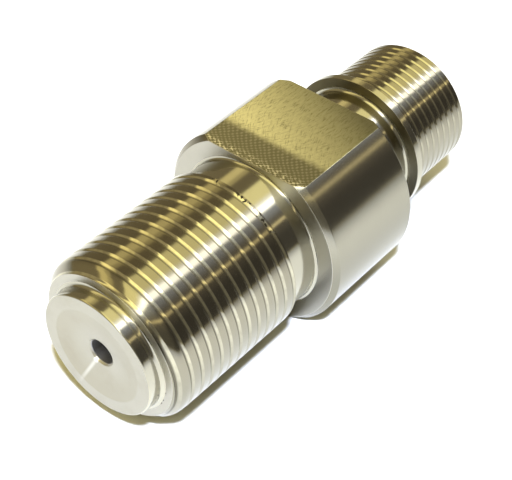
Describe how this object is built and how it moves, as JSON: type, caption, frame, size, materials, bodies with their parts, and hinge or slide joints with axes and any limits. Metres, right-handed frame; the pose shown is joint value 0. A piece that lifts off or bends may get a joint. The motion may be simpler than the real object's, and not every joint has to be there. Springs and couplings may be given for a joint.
{
  "type": "hex nipple",
  "caption": "Straight threaded adapter nipple with a male thread at each end, a round wrench body with two milled flats, a stop collar and a small through bore.",
  "frame": {"origin": "on the bore's axis at mid-length, which is the centre of the part's box", "axes": "+X along the bore from the nose at the coarse thread to the fine-thread end, +Z square to the two wrench flats, +Y across the round sides of the body"},
  "size_m": [0.0754, 0.033, 0.027],
  "materials": {
    "faced_steel": "faced on a lathe, fine concentric rings, near matt",
    "thread_steel": "bright turned and threaded",
    "turned_steel": "bright turned",
    "milled_steel": "satin turned body with cross-milled flats"
  },
  "bodies": {
    "root": {"pilot_nose": "faced_steel", "coarse_thread": "thread_steel", "front_relief": "turned_steel", "wrench_body": "milled_steel", "rear_neck": "turned_steel", "stop_collar": "turned_steel", "fine_thread": "thread_steel"}
  },
  "joints": []
}
